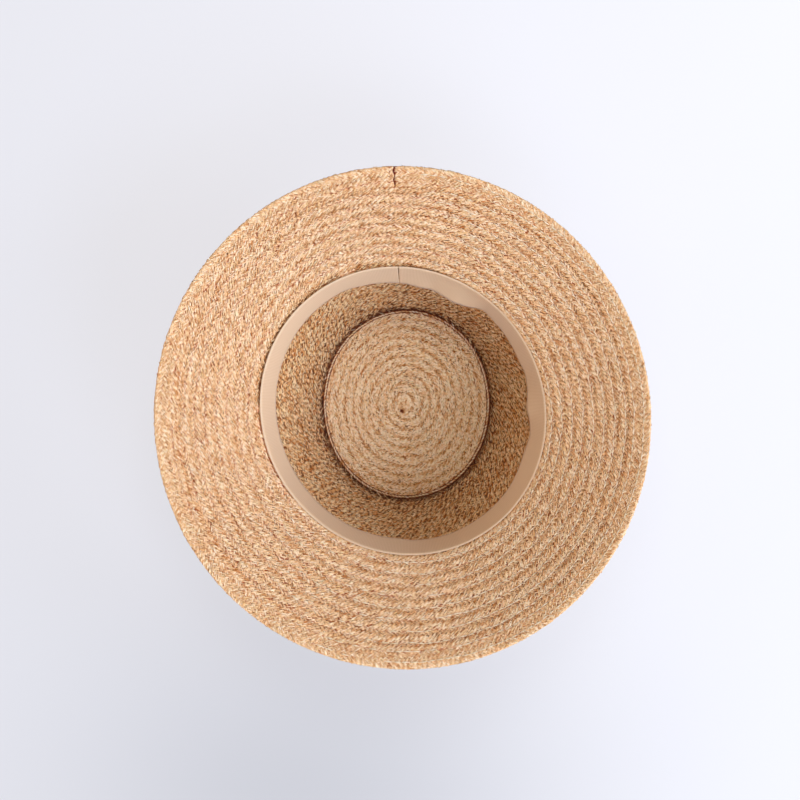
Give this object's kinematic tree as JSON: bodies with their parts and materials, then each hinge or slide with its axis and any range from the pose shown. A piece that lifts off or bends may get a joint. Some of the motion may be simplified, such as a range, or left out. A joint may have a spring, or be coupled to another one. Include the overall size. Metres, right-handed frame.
{
  "type": "raffia bucket hat",
  "caption": "Bucket hat sewn from rows of plaited raffia, with a tapered crown, a flared brim and a ribbon sweatband, resting crown down with its open side up.",
  "frame": {"origin": "centre of the flat outer face of the tip, which lies on the surface when the hat rests crown down", "axes": "+Z from the tip up to the open side and the brim, +Y to the back of the head, where the seams are, +X to the right when the open hat is seen from above with its back away from the viewer"},
  "size_m": [0.3042, 0.31, 0.1369],
  "materials": {
    "raffia_plait": "sewn natural raffia plait, straw coloured, faintly glossy strands",
    "grosgrain_ribbon": "matt beige grosgrain ribbon with fine cross ribs"
  },
  "bodies": {
    "root": {"crown_tip": "raffia_plait", "tip_welt": "raffia_plait", "crown_side": "raffia_plait", "brim": "raffia_plait", "brim_edge": "raffia_plait", "sweatband": "grosgrain_ribbon"}
  },
  "joints": []
}
